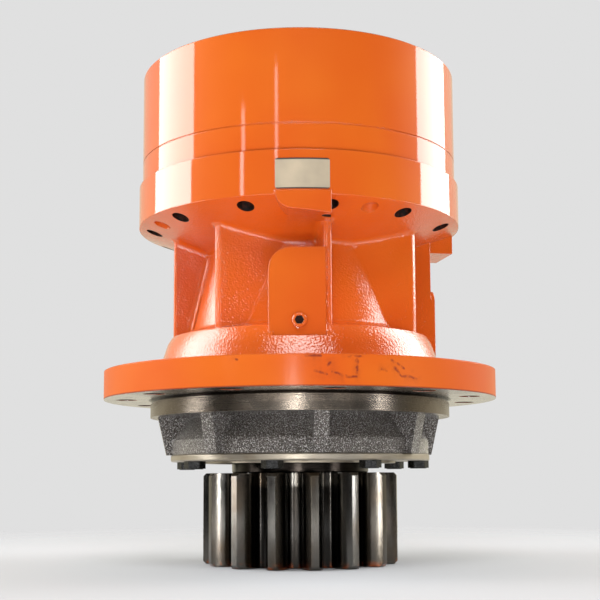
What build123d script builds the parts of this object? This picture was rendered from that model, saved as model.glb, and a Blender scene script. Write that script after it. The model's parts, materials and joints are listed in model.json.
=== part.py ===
from build123d import *
from math import asin, atan, cos, degrees, pi, radians, sin, sqrt, tan
import os

os.makedirs("parts", exist_ok=True)

# The gearbox stands upright on its output shaft, +Z towards the motor. The origin is the centre of
# the mounting flange's lower face. Headings are degrees from the front, -Y, towards +X.

# Clearances
fit_gap = 0.02            # pieces seated in each other
thread_gap = 0.05         # a screw in its tapped hole
running_gap = 0.3         # faces that turn past each other
roller_gap = 0.2          # a roller and its track
flank_play = 0.3          # taken off each flank of a planet's teeth

# Mounting flange and spigot of the housing
flange_radius = 209
flange_thickness = 29.5
flange_bolt_circle = 185
flange_bolt_count = 12
flange_bolt_heading = 10
flange_hole_radius = 11
spigot_radius = 160
spigot_depth = 18.5
undercut_top = 0.5
undercut_width = 3.8
undercut_depth = 1.5

# Upper flange of the housing, where the ring gear is bolted
joint_height = 228.6
rim_radius = 173.6
rim_thickness = 43.6
edge_chamfer = 1.2

# Ribbed cone and collar of the housing
neck_radius = 98.5
neck_height = 157
cone_foot_radius = 118
cone_foot_height = 71
collar_radius = 142.4
collar_foot_radius = 152
collar_height = 59
collar_chamfer_width = 4
collar_chamfer_height = 6.5
rib_heading = 12
rib_radius = 136.8
rib_thickness = 8
web_distance = 93.4
web_thickness = 9
rib_root_fillet = 7
rib_edge_fillet = 3

# Inside of the housing
cavity_radius = 128
cavity_floor = 172
cavity_slope = 12
cavity_land = 4
oil_space_radius = 94
oil_space_top = 100
shoulder_step = 8
shoulder_thickness = 12

# Nose of the housing, below the spigot
nose_top_radius = 118
nose_radius = 137.5
nose_depth = 58
nose_straight = 15
nose_rib_count = 8
nose_rib_heading = 8
nose_rib_width = 15
nose_rib_top_radius = 152
nose_rib_foot_radius = 143
nose_rib_root = 15

# Flat pad on the front with the level plug, and the pad on the right
pad_depth = 140
pad_left = -30
pad_right = 26
pad_top = 141
pad_corner = 22
pad_root = 60
spot_left = -25.5
spot_floor = 54
side_heading = 102
side_pad_depth = 145
side_pad_top = 121
side_pad_corner = 12
side_pad_upper_depth = 140.5
plug_height = 69
plug_radius = 6
plug_length = 18
plug_head_radius = 7.25
plug_head_height = 5
plug_socket_flats = 8
plug_socket_depth = 6
oil_way_radius = 4

# Lugs under the upper flange
front_lug_corner = 19
front_lug_left = -23
front_lug_right = 31
front_lug_bottom = 167
side_lug_distance = 168
side_lug_left = -25
side_lug_right = 30
side_lug_bottom = 163
lug_overhang = 0.8
lug_inner_radius = 110

# Bare plate on the rim
plate_start = -7.4
plate_end = 9.8
plate_bottom = 190
plate_height = 29.5
plate_thickness = 0.9
plate_corner = 2.5

# Ring gear and its fasteners
ring_radius = 170
ring_height = 121.4
pilot_radius = 141
spigot_length = 8
motor_recess_depth = 12
witness_height = 255.5
witness_width = 1.2
witness_depth = 0.6
ring_bolt_circle = 157.5
ring_bolt_headings = (11, 41, 71, 86)
blind_bolt_heading = 86
dowel_heading = 26
motor_bolt_heading = 56.5
ring_bolt_radius = 6
ring_bolt_hole = 6.75
ring_bolt_head_radius = 9
ring_bolt_head_height = 12
ring_bolt_socket = 10
head_recess_radius = 10
head_recess_depth = 13
ring_bolt_tip = 192
tapped_hole_floor = 188
exit_hole_radius = 8.3
dowel_radius = 8
dowel_length = 40
dowel_spot_depth = 4
motor_hole_radius = 7
motor_hole_depth = 32
cord_radius = 1.3
cord_facets = 8
cord_groove_depth = 2.65
cord_groove_width = 3.4

# Gear trains: both stages run in the one ring gear
gear_module = 5
pressure_angle = 20
gear_root_fillet = 0.3
ring_teeth = 51
ring_tip_radius = 123.5
ring_root_radius = 133.75
second_sun_teeth = 17
second_planet_teeth = 17
second_planet_count = 4
second_gear_width = 42.8
second_pin_radius = 22
second_bore_radius = 27.4
first_sun_teeth = 15
first_planet_teeth = 18
first_planet_count = 3
first_gear_width = 26
first_pin_radius = 19
first_bore_radius = 24
washer_thickness = 1.6
washer_rim = 1.5
needle_count = 16
needle_inset = 5

# Output pinion
pinion_module = 12
pinion_teeth = 15
pinion_shift = 0.15
pinion_tip_radius = 103.5
pinion_root_radius = 76.8
pinion_root_fillet = 4
pinion_chamfer = 3
pinion_bottom = -172
pinion_top = -77
pinion_heading = 8

# Output shaft, its bearings and seal
lower_bore_radius = 60
lower_outer_radius = 100
lower_bearing_width = 50
lower_cup_width = 40
lower_cone_width = 48
lower_roller_radius = 9.5
lower_roller_count = 20
lower_shoulder = 2
upper_bore_radius = 45
upper_outer_radius = 75
upper_bearing_width = 40
upper_cup_width = 32
upper_cone_width = 38
upper_roller_radius = 7.5
upper_roller_count = 18
upper_shoulder = 130
bearing_angle = 14
roller_cage_end = 3.5
shaft_waist_radius = 52
sleeve_seat_radius = 62
sleeve_radius = 73
nut_thread_radius = 42
nut_radius = 57
nut_thickness = 12
nut_slot_width = 8
nut_slot_depth = 4
lock_washer_thickness = 2
centre_hole_radius = 8
retainer_radius = 138.2
retainer_thickness = 7
retainer_hub_radius = 102
retainer_hub_height = 2
retainer_lip_radius = 78
retainer_lip_thickness = 4
seal_radius = 92
seal_width = 12
seal_lip_width = 3
retainer_spigot_bore = 90
retainer_hole_gap = 0.6
retainer_bolt_circle = 127
retainer_bolt_count = 8
retainer_bolt_heading = 32.8
retainer_bolt_radius = 6
retainer_bolt_grip = 13
retainer_head_flats = 19
retainer_head_height = 7.5

# Second carrier, splined on the shaft
spline_teeth = 24
spline_minor_radius = 36
spline_major_radius = 39.5
carrier_hub_radius = 60
carrier_hub_bottom = 188
carrier_plate_bottom = 204
carrier_plate_thickness = 21.4
carrier_cover_thickness = 13
carrier_radius = 118
pin_floor = 4
pocket_gap = 2.1
end_plate_radius = 41.5
end_plate_thickness = 12
end_bolt_circle = 24
end_bolt_count = 3
end_bolt_radius = 4
end_bolt_length = 30
end_bolt_head_radius = 6.5
end_bolt_head_height = 8
lock_pin_radius = 3
lock_pin_length = 19

# First carrier and sun
stage_gap = 3
first_carrier_radius = 112
first_carrier_thickness = 15
scallop_radius = 38
scallop_centre = 126
circlip_thickness = 1.75
circlip_depth = 1.5
pin_end = 2
sun_top_gap = 2
thrust_ring_radius = 30
thrust_ring_bore = 22
sun_bore_radius = 16
motor_spline_teeth = 20
motor_spline_minor = 17
motor_spline_major = 19.5

# Heights that follow from the sizes above
ring_top = joint_height + ring_height
recess_floor = ring_top - motor_recess_depth
rim_bottom = joint_height - rim_thickness
ring_bolt_seat = ring_top - head_recess_depth
lower_cone_back = lower_shoulder - lower_bearing_width
upper_cone_back = upper_shoulder + upper_bearing_width
nut_bottom = upper_cone_back + lock_washer_thickness
retainer_bottom = -nose_depth - retainer_thickness
pocket_floor = carrier_plate_bottom + carrier_plate_thickness
second_gear_bottom = pocket_floor + washer_thickness + running_gap
second_washer_top = second_gear_bottom + second_gear_width + running_gap
pocket_ceiling = second_washer_top + washer_thickness
carrier_top = pocket_ceiling + carrier_cover_thickness
end_plate_bottom = pocket_floor - end_plate_thickness - running_gap
second_sun_bottom = pocket_floor
first_carrier_bottom = carrier_top + stage_gap
first_carrier_top = first_carrier_bottom + first_carrier_thickness
first_gear_bottom = first_carrier_top + washer_thickness + running_gap
first_washer_top = first_gear_bottom + first_gear_width + running_gap
circlip_bottom = first_washer_top + washer_thickness
first_pin_top = circlip_bottom + circlip_thickness + pin_end
second_centres = gear_module * (second_sun_teeth + second_planet_teeth) / 2
first_centres = gear_module * (first_sun_teeth + first_planet_teeth) / 2
second_tip_radius = gear_module * (second_planet_teeth / 2 + 1)
second_root_radius = gear_module * (second_planet_teeth / 2 - 1.25)
first_root_radius = gear_module * (first_planet_teeth / 2 - 1.25)
seal_top = retainer_bottom - retainer_hub_height + seal_width + 1
retainer_cord_height = -nose_depth + (lower_shoulder - lower_cup_width + nose_depth) / 2
lock_pin_height = carrier_top - carrier_cover_thickness / 2


def ring_points(radius, headings):
    """Points of a circle at the given headings."""
    return [(radius * sin(radians(a)), -radius * cos(radians(a))) for a in headings]


def headings_of(first, count):
    """Evenly spaced headings, starting at the first."""
    return [first + 360 / count * i for i in range(count)]


def quarter_headings(headings):
    """The same headings in each quarter of the circle."""
    return [a + 90 * quarter for quarter in range(4) for a in headings]


def radial_plane(heading):
    """Upright plane through the axis: x runs outwards at the heading, y runs up."""
    outward = Vector(sin(radians(heading)), -cos(radians(heading)), 0)
    return Plane(origin=(0, 0, 0), x_dir=outward, z_dir=outward.cross(Vector(0, 0, 1)))


def facing_plane(heading, radius):
    """Upright plane square to the heading, at the radius: its normal points outwards."""
    outward = Vector(sin(radians(heading)), -cos(radians(heading)), 0)
    return Plane(origin=outward * radius, x_dir=Vector(0, 0, 1).cross(outward), z_dir=outward)


def is_rib_edge(edge):
    """Whether an edge is an outer corner of a rib of the cone."""
    upright = edge.geom_type == GeomType.LINE and edge.length > neck_height - cone_foot_height
    return upright and edge.center().Z > collar_height and edge.center().cross(Vector(0, 0, 1)).length > neck_radius


def is_rib_root(edge):
    """Whether an edge is where a rib meets the cone or the flange, or an end of the cone between ribs."""
    along_rib = edge.geom_type == GeomType.HYPERBOLA and edge.length > 2 * rib_thickness
    round_cone = edge.geom_type == GeomType.CIRCLE
    cone_middle = (cone_foot_height + neck_height) / 2
    above_foot = edge.center().Z > cone_foot_height + rib_root_fillet
    on_cone = abs(edge.center().Z - cone_middle) < neck_height - cone_middle + 0.1
    return (along_rib and above_foot) or (round_cone and on_cone)


def polar(radius, angle):
    """Point at a radius and an angle from +X, in degrees."""
    return Vector(radius * cos(radians(angle)), radius * sin(radians(angle)))


def involute(base_radius, radius):
    """Angle that an involute has turned through, in degrees, when it reaches the radius."""
    unrolled = sqrt(max((radius / base_radius) ** 2 - 1, 0))
    return degrees(unrolled - atan(unrolled))


def tooth_half_angle(module, teeth, shift, play, radius):
    """Half the angle that one tooth takes at the radius, with the play taken off each flank."""
    pitch_radius = module * teeth / 2
    base_radius = pitch_radius * cos(radians(pressure_angle))
    at_pitch = 90 / teeth + degrees(2 * shift * tan(radians(pressure_angle)) / teeth - play / pitch_radius)
    return at_pitch + involute(base_radius, pitch_radius) - involute(base_radius, max(radius, base_radius))


def flank_outline(angle_at, root, start, end):
    """Closed face between two mirrored flanks about +X, from the root to the end radius."""
    flank_steps = 6
    radii = [start + (end - start) * i / flank_steps for i in range(flank_steps + 1)]
    with BuildSketch() as outline:
        with BuildLine():
            upper = Spline(*[polar(r, angle_at(r)) for r in radii])
            lower = Spline(*[polar(r, -angle_at(r)) for r in radii])
            upper_foot = Line(upper @ 0, polar(root, angle_at(start)))
            lower_foot = Line(lower @ 0, polar(root, -angle_at(start)))
            ThreePointArc(upper_foot @ 1, polar(root, 0), lower_foot @ 1)
            ThreePointArc(upper @ 1, polar(end, 0), lower @ 1)
        make_face()
    return outline.sketch


def external_gear(module, teeth, shift, play, root, tip, fillet_radius):
    """Face of an external gear, with one tooth centred on +X."""
    base_radius = module * teeth / 2 * cos(radians(pressure_angle))
    start = max(base_radius, root + fillet_radius)
    gap = flank_outline(
        lambda r: 180 / teeth - tooth_half_angle(module, teeth, shift, play, r), root, start, tip + 1
    )
    corners = gap.vertices().filter_by(lambda v: v.center().length < root + fit_gap)
    gap = fillet(corners, fillet_radius)
    with BuildSketch() as gear:
        Circle(tip)
        with PolarLocations(0, teeth, start_angle=180 / teeth):
            add(gap, mode=Mode.SUBTRACT)
    return gear.sketch


def planet_gear(teeth, width, bore):
    """Planet gear standing on the ground plane, with a tooth towards +X."""
    pitch_radius = gear_module * teeth / 2
    section = external_gear(
        gear_module, teeth, 0, flank_play,
        pitch_radius - 1.25 * gear_module, pitch_radius + gear_module, gear_root_fillet * gear_module,
    )
    with BuildPart() as planet:
        with BuildSketch():
            add(section)
            Circle(bore, mode=Mode.SUBTRACT)
        extrude(amount=width)
    return planet.part


def needle_bearing(pin_radius, bore, width):
    """Needle rollers in their cage, standing on the ground plane."""
    needle_radius = (bore - pin_radius) / 2 - roller_gap
    centre_radius = (bore + pin_radius) / 2
    cage_half_wall = 0.5 * needle_radius
    with BuildPart() as bearing:
        with BuildSketch():
            Circle(centre_radius + cage_half_wall)
            Circle(centre_radius - cage_half_wall, mode=Mode.SUBTRACT)
        extrude(amount=width)
        with BuildSketch(Plane.XY.offset(needle_inset - roller_gap)):
            with PolarLocations(centre_radius, needle_count):
                Circle(needle_radius + roller_gap)
        extrude(amount=width - 2 * (needle_inset - roller_gap), mode=Mode.SUBTRACT)
        with BuildSketch(Plane.XY.offset(needle_inset)):
            with PolarLocations(centre_radius, needle_count):
                Circle(needle_radius)
        extrude(amount=width - 2 * needle_inset)
    return bearing.part


def planet_places(centres, count, teeth, bottom):
    """Where each planet stands, turned so that a tooth fills the ring gear's space beside it."""
    places = []
    for index in range(count):
        angle = 360 / count * index
        centre = polar(centres, angle)
        places.append(Location((centre.X, centre.Y, bottom), (0, 0, angle - angle * ring_teeth / teeth)))
    return places


def sun_section(teeth, growth):
    """Section of a sun gear, grown by a clearance where it cuts a hub."""
    pitch_radius = gear_module * teeth / 2
    return external_gear(
        gear_module, teeth, 0, -growth,
        pitch_radius - 1.25 * gear_module + growth, pitch_radius + gear_module + 2 * growth,
        gear_root_fillet * gear_module,
    )


def spline_section(teeth, minor, major, growth=0):
    """Section of a splined shaft, grown by a clearance where it cuts a hub."""
    tooth_width = pi * (minor + major) / 2 / teeth
    with BuildSketch() as section:
        Circle(minor + growth)
        with PolarLocations(minor - 1, teeth):
            Rectangle(major - minor + 1 + growth, tooth_width + 2 * growth, align=(Align.MIN, Align.CENTER))
    return section.sketch


class TaperBearing:
    """Sizes of a taper roller bearing, measured from the cup's back along the bearing's axis."""

    def __init__(self, bore, outer, width, cup_width, cone_width, roller_radius, rollers, back, way):
        self.bore = bore
        self.outer = outer
        self.width = width
        self.cup_width = cup_width
        self.cone_width = cone_width
        self.roller_radius = roller_radius
        self.rollers = rollers
        self.back = back
        self.way = way
        self.middle = (bore + outer) / 2
        self.apex = width / 2 - self.middle / tan(radians(bearing_angle))
        self.taper = degrees(asin(roller_radius * sin(radians(bearing_angle)) / self.middle))
        self.reach = self.middle / sin(radians(bearing_angle))
        self.half_length = cone_width * 0.31

    def section_plane(self):
        """Plane for the sections: x runs outwards, y from the cup's back towards the cone's back."""
        return Plane(origin=(0, 0, self.back), x_dir=(1, 0, 0), z_dir=(0, -self.way, 0))

    def along_roller(self, distance, offset):
        """Point at a distance from the apex along a roller's axis, and an offset outwards from it."""
        turn = radians(bearing_angle)
        radius = distance * sin(turn) + offset * cos(turn)
        return radius, self.apex + distance * cos(turn) - offset * sin(turn)

    def roller_radius_at(self, distance):
        return distance * tan(radians(self.taper))

    def track_radius(self, height, side):
        """Radius of the outer track, side 1, or the inner track, side -1, at a height."""
        slope = radians(bearing_angle + side * self.taper)
        return (height - self.apex) * tan(slope) + side * roller_gap / cos(slope)

    def cup(self):
        """Outer ring, with its thick side at the back."""
        with BuildPart() as ring:
            with BuildSketch(self.section_plane()):
                with BuildLine():
                    Polyline(
                        (self.outer, 0),
                        (self.outer, self.cup_width),
                        (self.track_radius(self.cup_width, 1), self.cup_width),
                        (self.track_radius(0, 1), 0),
                        close=True,
                    )
                make_face()
            revolve(axis=Axis.Z)
        return ring.part

    def cone(self):
        """Inner ring, with a rib at each end of its track."""
        small_end = self.reach - self.half_length - roller_gap
        large_end = self.reach + self.half_length + roller_gap
        small_track = -self.roller_radius_at(small_end) - roller_gap
        large_track = -self.roller_radius_at(large_end) - roller_gap
        small_rib = self.along_roller(small_end, small_track * 0.62)
        large_rib = self.along_roller(large_end, large_track * 0.45)
        with BuildPart() as ring:
            with BuildSketch(self.section_plane()):
                with BuildLine():
                    Polyline(
                        (self.bore, self.width),
                        (large_rib[0], self.width),
                        large_rib,
                        self.along_roller(large_end, large_track),
                        self.along_roller(small_end, small_track),
                        small_rib,
                        (small_rib[0], self.width - self.cone_width),
                        (self.bore, self.width - self.cone_width),
                        close=True,
                    )
                make_face()
            revolve(axis=Axis.Z)
        return ring.part

    def roller_set(self):
        """Rollers and the cage that spaces them."""
        small_end = self.reach - self.half_length
        length = 2 * self.half_length
        cage_half_wall = 0.3 * self.roller_radius
        with BuildPart(Plane(origin=(0, 0, self.back), x_dir=(1, 0, 0), z_dir=(0, 0, self.way))) as rollers:
            with BuildSketch(self.section_plane()):
                with BuildLine():
                    Polyline(
                        self.along_roller(small_end - roller_cage_end, cage_half_wall),
                        self.along_roller(small_end + length + roller_cage_end, cage_half_wall),
                        self.along_roller(small_end + length + roller_cage_end, -cage_half_wall * 0.4),
                        self.along_roller(small_end - roller_cage_end, -cage_half_wall * 0.4),
                        close=True,
                    )
                make_face()
            revolve(axis=Axis.Z)
            with PolarLocations(0, self.rollers):
                with Locations(Location((0, 0, self.apex), (0, bearing_angle, 0))):
                    with Locations((0, 0, small_end - roller_gap)):
                        Cone(
                            self.roller_radius_at(small_end) + roller_gap,
                            self.roller_radius_at(small_end + length) + roller_gap,
                            length + 2 * roller_gap,
                            align=(Align.CENTER, Align.CENTER, Align.MIN),
                            mode=Mode.SUBTRACT,
                        )
            with PolarLocations(0, self.rollers):
                with Locations(Location((0, 0, self.apex), (0, bearing_angle, 0))):
                    with Locations((0, 0, small_end)):
                        Cone(
                            self.roller_radius_at(small_end),
                            self.roller_radius_at(small_end + length),
                            length,
                            align=(Align.CENTER, Align.CENTER, Align.MIN),
                        )
        return rollers.part


def write(part, name):
    """Label a finished piece and write its file."""
    part.label = name
    export_step(part, f"parts/{name}.step")


lower_bearing = TaperBearing(
    lower_bore_radius, lower_outer_radius, lower_bearing_width, lower_cup_width, lower_cone_width,
    lower_roller_radius, lower_roller_count, lower_shoulder, -1,
)
upper_bearing = TaperBearing(
    upper_bore_radius, upper_outer_radius, upper_bearing_width, upper_cup_width, upper_cone_width,
    upper_roller_radius, upper_roller_count, upper_shoulder, 1,
)

# Housing: one casting from the upper flange to the nose
with BuildPart() as gear_housing:
    # Outside, turned about the axis
    with BuildSketch(Plane.XZ):
        with BuildLine():
            Polyline(
                (0, joint_height),
                (rim_radius, joint_height),
                (rim_radius, rim_bottom),
                (neck_radius, neck_height),
                (cone_foot_radius, cone_foot_height),
                (collar_radius - collar_chamfer_width, collar_height + collar_chamfer_height),
                (collar_radius, collar_height),
                (collar_foot_radius, flange_thickness),
                (flange_radius, flange_thickness),
                (flange_radius, 0),
                (spigot_radius, 0),
                (spigot_radius, -undercut_top),
                (spigot_radius - undercut_depth, -undercut_top),
                (spigot_radius - undercut_depth, -undercut_top - undercut_width),
                (spigot_radius, -undercut_top - undercut_width),
                (spigot_radius, -spigot_depth),
                (nose_top_radius, -spigot_depth),
                (nose_radius, nose_straight - nose_depth),
                (nose_radius, -nose_depth),
                (0, -nose_depth),
                close=True,
            )
        make_face()
    revolve(axis=Axis.Z)
    # Four radial ribs, and a web before and behind the cone, all drawn the same way out of the mould
    with BuildSketch(Plane.XY.offset(collar_height).rotated((0, 0, rib_heading))):
        Rectangle(2 * rib_radius, rib_thickness)
        Rectangle(rib_thickness, 2 * rib_radius)
        with GridLocations(0, 2 * web_distance - web_thickness, 1, 2):
            Rectangle(2 * rib_radius, web_thickness)
        Circle(rib_radius, mode=Mode.INTERSECT)
    extrude(amount=rim_bottom - collar_height)
    fillet(gear_housing.edges().filter_by(is_rib_edge), rib_edge_fillet)
    fillet(gear_housing.edges().filter_by(is_rib_root), rib_root_fillet)
    # Ribs under the spigot
    with BuildSketch(*[radial_plane(a) for a in headings_of(nose_rib_heading, nose_rib_count)]):
        with BuildLine():
            Polyline(
                (nose_top_radius - nose_rib_root, -spigot_depth),
                (nose_rib_top_radius, -spigot_depth),
                (nose_rib_foot_radius, -nose_depth),
                (nose_top_radius - nose_rib_root, -nose_depth),
                close=True,
            )
        make_face()
    extrude(amount=nose_rib_width / 2, both=True)
    # Flat pad on the front, spot-faced round the level plug down to a ledge in the collar
    with BuildSketch(facing_plane(0, pad_depth)) as front_pad:
        with Locations(((pad_left + pad_right) / 2, (pad_top + flange_thickness) / 2)):
            Rectangle(pad_right - pad_left, pad_top - flange_thickness)
        fillet(front_pad.vertices().sort_by(Axis.X)[:2].sort_by(Axis.Y)[-1], pad_corner)
    extrude(amount=-pad_root)
    with BuildSketch(facing_plane(0, pad_depth)):
        with Locations(((spot_left + pad_right) / 2, (spot_floor + pad_top) / 2)):
            Rectangle(pad_right - spot_left, pad_top - spot_floor)
    extrude(amount=collar_foot_radius - pad_depth, mode=Mode.SUBTRACT)
    # Pad on the right, set back towards the upper flange
    with BuildSketch(facing_plane(side_heading, side_pad_depth)) as side_pad:
        with Locations(((pad_left + pad_right) / 2, (side_pad_top + flange_thickness) / 2)):
            Rectangle(pad_right - pad_left, side_pad_top - flange_thickness)
        fillet(side_pad.vertices().sort_by(Axis.Y)[-2:], side_pad_corner)
    extrude(amount=-pad_root)
    with BuildSketch(facing_plane(side_heading, side_pad_upper_depth)):
        with Locations(((pad_left + pad_right) / 2, (rim_bottom + collar_height) / 2)):
            Rectangle(pad_right - pad_left, rim_bottom - collar_height)
    extrude(amount=-pad_root)
    # Lugs under the upper flange, turned off with its rim
    with BuildSketch(facing_plane(0, rim_radius + 4 * lug_overhang)):
        with BuildLine():
            top_left = Line((front_lug_right, plate_bottom - 1), (front_lug_left, plate_bottom - 1))
            left_side = Line(top_left @ 1, (front_lug_left, rim_bottom + 2))
            corner = RadiusArc(
                left_side @ 1, (front_lug_left + front_lug_corner, front_lug_bottom + 4), -front_lug_corner
            )
            Polyline(corner @ 1, (front_lug_right, front_lug_bottom), top_left @ 0)
        make_face()
    extrude(amount=lug_inner_radius - rim_radius - 4 * lug_overhang)
    with BuildSketch(facing_plane(side_heading, side_lug_distance)):
        with Locations(((side_lug_left + side_lug_right) / 2, (side_lug_bottom + rim_bottom) / 2 + 1)):
            Rectangle(side_lug_right - side_lug_left, rim_bottom - side_lug_bottom + 2)
    extrude(amount=lug_inner_radius - side_lug_distance)
    with BuildSketch(Plane.XY.offset(side_lug_bottom - 5)):
        Circle(rim_radius + 30)
        Circle(rim_radius + lug_overhang, mode=Mode.SUBTRACT)
    extrude(amount=joint_height - side_lug_bottom, mode=Mode.SUBTRACT)
    # Inside: seat of the ring gear, oil space round the carrier, bearing seats
    with BuildSketch(Plane.XZ):
        with BuildLine():
            Polyline(
                (0, joint_height),
                (pilot_radius + fit_gap, joint_height),
                (pilot_radius + fit_gap, joint_height - spigot_length),
                (cavity_radius, joint_height - spigot_length),
                (cavity_radius, cavity_floor + cavity_slope),
                (upper_outer_radius + cavity_land, cavity_floor),
                (upper_outer_radius + fit_gap, cavity_floor),
                (upper_outer_radius + fit_gap, upper_shoulder),
                (upper_outer_radius - shoulder_step, upper_shoulder),
                (upper_outer_radius - shoulder_step, upper_shoulder - shoulder_thickness),
                (oil_space_radius, oil_space_top),
                (oil_space_radius, lower_shoulder + shoulder_thickness),
                (lower_outer_radius - shoulder_step, lower_shoulder + shoulder_thickness),
                (lower_outer_radius - shoulder_step, lower_shoulder),
                (lower_outer_radius + fit_gap, lower_shoulder),
                (lower_outer_radius + fit_gap, -nose_depth),
                (0, -nose_depth),
                close=True,
            )
        make_face()
    revolve(axis=Axis.Z, mode=Mode.SUBTRACT)
    # Holes of the mounting flange
    with BuildSketch():
        with Locations(*ring_points(flange_bolt_circle, headings_of(flange_bolt_heading, flange_bolt_count))):
            Circle(flange_hole_radius)
    extrude(amount=flange_thickness, mode=Mode.SUBTRACT)
    # Tapped holes and dowel holes in the joint face
    with BuildSketch(Plane.XY.offset(joint_height)):
        with Locations(*ring_points(ring_bolt_circle, quarter_headings(ring_bolt_headings))):
            Circle(ring_bolt_radius + thread_gap)
    extrude(amount=tapped_hole_floor - joint_height, mode=Mode.SUBTRACT)
    with BuildSketch(Plane.XY.offset(joint_height)):
        with Locations(*ring_points(ring_bolt_circle, quarter_headings([dowel_heading]))):
            Circle(dowel_radius + fit_gap)
    extrude(amount=-dowel_length / 2 - 1, mode=Mode.SUBTRACT)
    # Where the bolt holes come out of the underside, and the shallow ones below the dowels
    open_headings = [a for a in ring_bolt_headings if a != blind_bolt_heading]
    with BuildSketch(Plane.XY.offset(tapped_hole_floor)):
        with Locations(*ring_points(ring_bolt_circle, quarter_headings(open_headings))):
            Circle(exit_hole_radius)
    extrude(amount=front_lug_bottom - tapped_hole_floor, mode=Mode.SUBTRACT)
    with BuildSketch(Plane.XY.offset(tapped_hole_floor - dowel_spot_depth)):
        with Locations(*ring_points(ring_bolt_circle, quarter_headings([dowel_heading]))):
            Circle(exit_hole_radius)
    extrude(amount=front_lug_bottom - tapped_hole_floor, mode=Mode.SUBTRACT)
    # Tapped holes for the seal retainer
    retainer_points = ring_points(
        retainer_bolt_circle, headings_of(retainer_bolt_heading, retainer_bolt_count)
    )
    with BuildSketch(Plane.XY.offset(-nose_depth)):
        with Locations(*retainer_points):
            Circle(retainer_bolt_radius + thread_gap)
    extrude(amount=retainer_bolt_grip + 2, mode=Mode.SUBTRACT)
    # Level plug hole and the oil way behind it
    with BuildSketch(facing_plane(0, pad_depth)):
        with Locations((0, plug_height)):
            Circle(plug_radius + thread_gap)
    extrude(amount=-plug_length - 1, mode=Mode.SUBTRACT)
    with BuildSketch(facing_plane(0, pad_depth)):
        with Locations((0, plug_height)):
            Circle(oil_way_radius)
    extrude(amount=oil_space_radius - pad_depth - 3, mode=Mode.SUBTRACT)
write(gear_housing.part, "gear_housing")

# Ring gear: the drum on top, toothed along its bore for both stages
ring_space = flank_outline(
    lambda r: tooth_half_angle(gear_module, ring_teeth, 0, 0, r),
    ring_tip_radius - 2, ring_tip_radius - 1, ring_root_radius,
)
with BuildPart() as ring_gear:
    with BuildSketch(Plane.XZ):
        with BuildLine():
            Polyline(
                (ring_tip_radius, joint_height - spigot_length),
                (pilot_radius, joint_height - spigot_length),
                (pilot_radius, joint_height),
                (ring_radius, joint_height),
                (ring_radius, ring_top),
                (pilot_radius, ring_top),
                (pilot_radius, recess_floor),
                (ring_tip_radius, recess_floor),
                close=True,
            )
        make_face()
    revolve(axis=Axis.Z)
    rims = ring_gear.edges().filter_by(GeomType.CIRCLE).filter_by(lambda e: abs(e.radius - ring_radius) < fit_gap)
    chamfer(rims, edge_chamfer)
    with BuildSketch(Plane.XZ):
        with Locations((ring_radius, witness_height)):
            Rectangle(2 * witness_depth, witness_width)
        with Locations((pilot_radius, joint_height - spigot_length / 2)):
            Rectangle(2 * cord_groove_depth, cord_groove_width)
    revolve(axis=Axis.Z, mode=Mode.SUBTRACT)
    # Tooth spaces
    with BuildSketch(Plane.XY.offset(joint_height - spigot_length)):
        with PolarLocations(0, ring_teeth):
            add(ring_space)
    extrude(amount=recess_floor - joint_height + spigot_length, mode=Mode.SUBTRACT)
    # Bolt holes with their head recesses, dowel holes, and tapped holes for the motor
    with BuildSketch(Plane.XY.offset(joint_height)):
        with Locations(*ring_points(ring_bolt_circle, quarter_headings(ring_bolt_headings))):
            Circle(ring_bolt_hole)
    extrude(amount=ring_height, mode=Mode.SUBTRACT)
    with BuildSketch(Plane.XY.offset(ring_bolt_seat)):
        with Locations(*ring_points(ring_bolt_circle, quarter_headings(ring_bolt_headings))):
            Circle(head_recess_radius)
    extrude(amount=head_recess_depth, mode=Mode.SUBTRACT)
    with BuildSketch(Plane.XY.offset(joint_height)):
        with Locations(*ring_points(ring_bolt_circle, quarter_headings([dowel_heading]))):
            Circle(dowel_radius + fit_gap)
    extrude(amount=dowel_length / 2 + 1, mode=Mode.SUBTRACT)
    with BuildSketch(Plane.XY.offset(ring_top)):
        with Locations(*ring_points(ring_bolt_circle, quarter_headings([motor_bolt_heading]))):
            Circle(motor_hole_radius)
    extrude(amount=-motor_hole_depth, mode=Mode.SUBTRACT)
write(ring_gear.part, "ring_gear")

# Long socket bolts that hold the ring gear down
with BuildPart() as ring_gear_bolts:
    bolt_points = ring_points(ring_bolt_circle, quarter_headings(ring_bolt_headings))
    with BuildSketch(Plane.XY.offset(ring_bolt_tip)):
        with Locations(*bolt_points):
            Circle(ring_bolt_radius)
    extrude(amount=ring_bolt_seat - ring_bolt_tip)
    with BuildSketch(Plane.XY.offset(ring_bolt_seat)):
        with Locations(*bolt_points):
            Circle(ring_bolt_head_radius)
    extrude(amount=ring_bolt_head_height)
    with BuildSketch(Plane.XY.offset(ring_bolt_seat + ring_bolt_head_height / 2)):
        with Locations(*bolt_points):
            RegularPolygon(ring_bolt_socket / 2, 6, major_radius=False)
    extrude(amount=ring_bolt_head_height / 2, mode=Mode.SUBTRACT)
write(ring_gear_bolts.part, "ring_gear_bolts")

# Dowels across the joint
with BuildPart() as dowel_pins:
    with BuildSketch(Plane.XY.offset(joint_height - dowel_length / 2)):
        with Locations(*ring_points(ring_bolt_circle, quarter_headings([dowel_heading]))):
            Circle(dowel_radius)
    extrude(amount=dowel_length)
    chamfer(dowel_pins.edges().filter_by(GeomType.CIRCLE), edge_chamfer)
write(dowel_pins.part, "dowel_pins")

# Sealing cord in the groove of the ring gear's spigot
with BuildPart() as ring_gear_o_ring:
    with BuildSketch(Plane.XZ):
        with Locations((pilot_radius - cord_groove_depth / 2, joint_height - spigot_length / 2)):
            RegularPolygon(cord_radius, cord_facets)
    revolve(axis=Axis.Z)
write(ring_gear_o_ring.part, "ring_gear_o_ring")

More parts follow.
